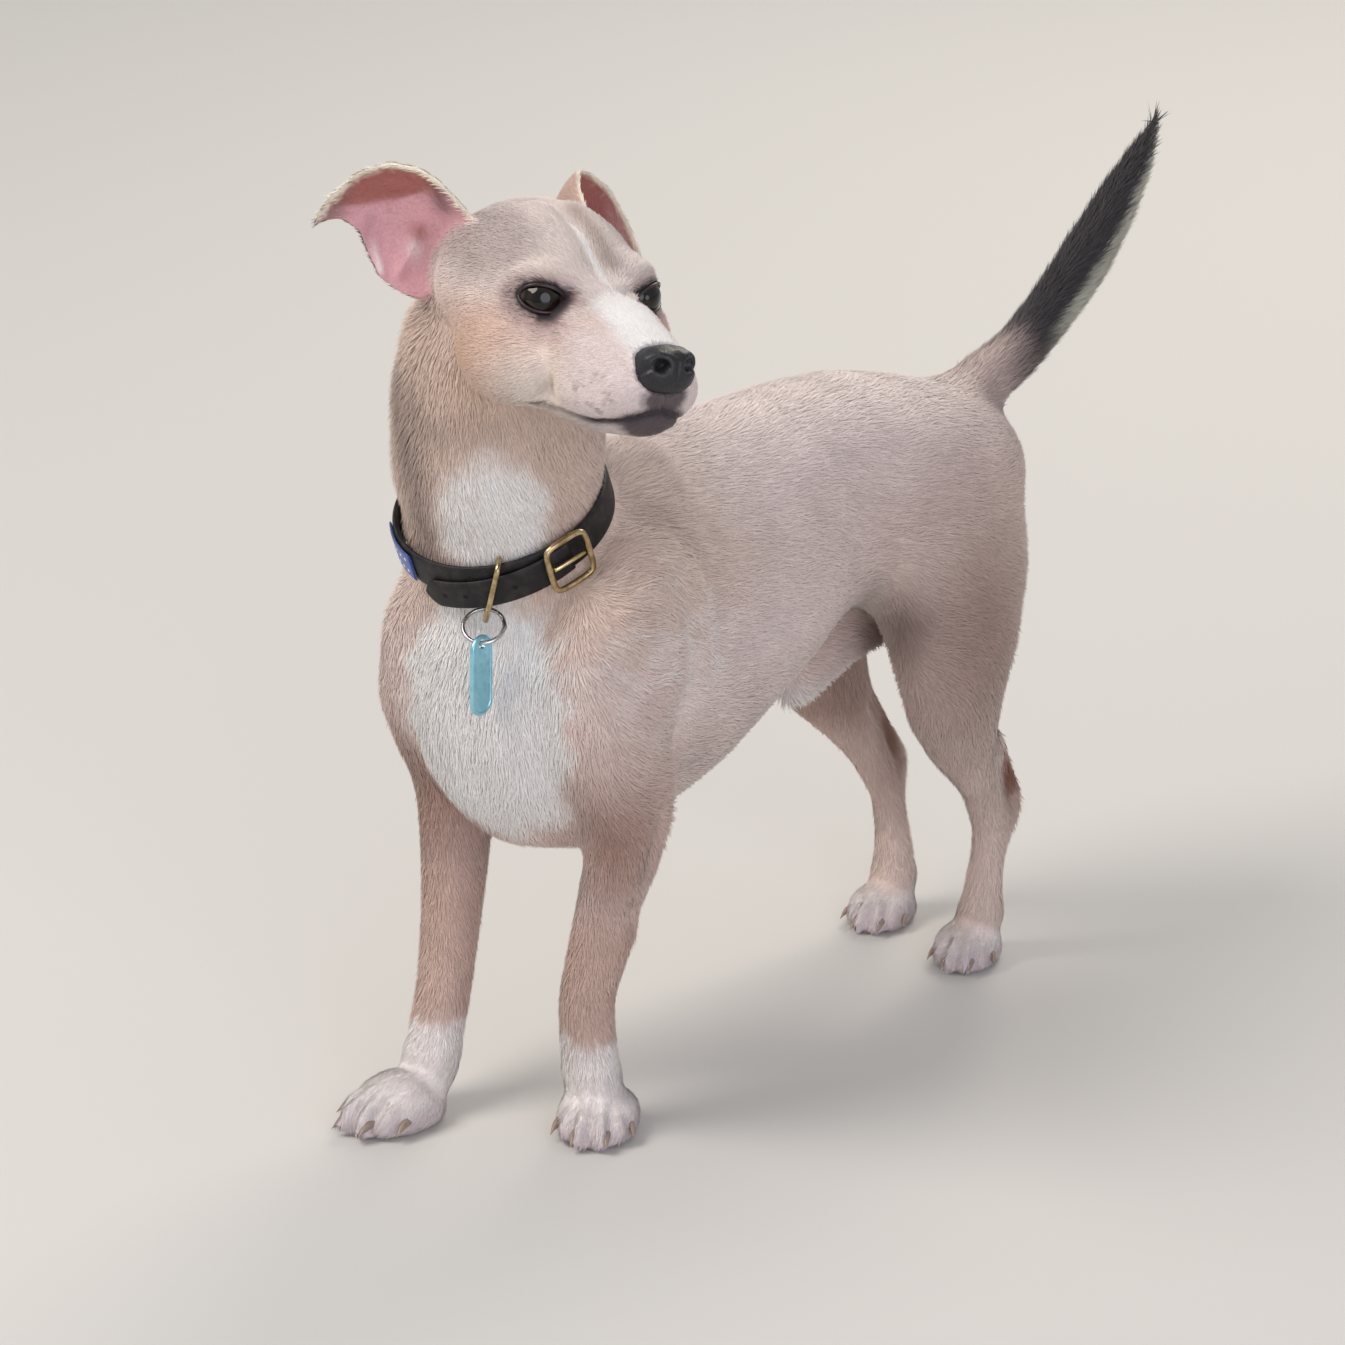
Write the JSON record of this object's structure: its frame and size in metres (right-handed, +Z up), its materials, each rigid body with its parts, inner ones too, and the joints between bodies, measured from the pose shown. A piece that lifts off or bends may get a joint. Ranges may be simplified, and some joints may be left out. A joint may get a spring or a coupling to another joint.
{
  "type": "dog",
  "caption": "Small smooth-coated fawn and white dog standing with its head turned left, tail raised, in a leather collar with a tag.",
  "frame": {"origin": "middle of the whole model's bounding box, on the floor it stands on", "axes": "-Y is the way the trunk faces, +X the dog's left, +Z up"},
  "size_m": [0.2099, 0.5263, 0.4518],
  "materials": {
    "coat": "short flat fur",
    "claw": "horn, slightly worn",
    "ear": "thin skin under sparse short fur",
    "nose": "damp pebbled leather",
    "eye": "wet, glossy",
    "strap": "worn satin",
    "band": "woven ribbon with pale dots",
    "brass": "worn satin",
    "steel": "polished wire",
    "tag": "anodised, satin"
  },
  "bodies": {
    "root": {"head": "coat", "lower_jaw": "coat", "neck": "coat", "trunk": "coat", "tail_base": "coat", "tail_end": "coat", "upper_foreleg_left": "coat", "forearm_left": "coat", "forepaw_left": "coat", "thigh_left": "coat", "lower_hind_leg_left": "coat", "hind_pastern_left": "coat", "hindpaw_left": "coat", "upper_foreleg_right": "coat", "forearm_right": "coat", "forepaw_right": "coat", "thigh_right": "coat", "lower_hind_leg_right": "coat", "hind_pastern_right": "coat", "hindpaw_right": "coat", "ear_left": "ear", "ear_right": "ear", "nose": "nose", "eye_left": "eye", "eye_right": "eye", "collar_strap": "strap", "collar_end": "strap", "collar_band": "band", "buckle_frame": "brass", "buckle_prong": "brass", "collar_link": "brass", "split_ring": "steel", "tag": "tag"}
  },
  "joints": []
}
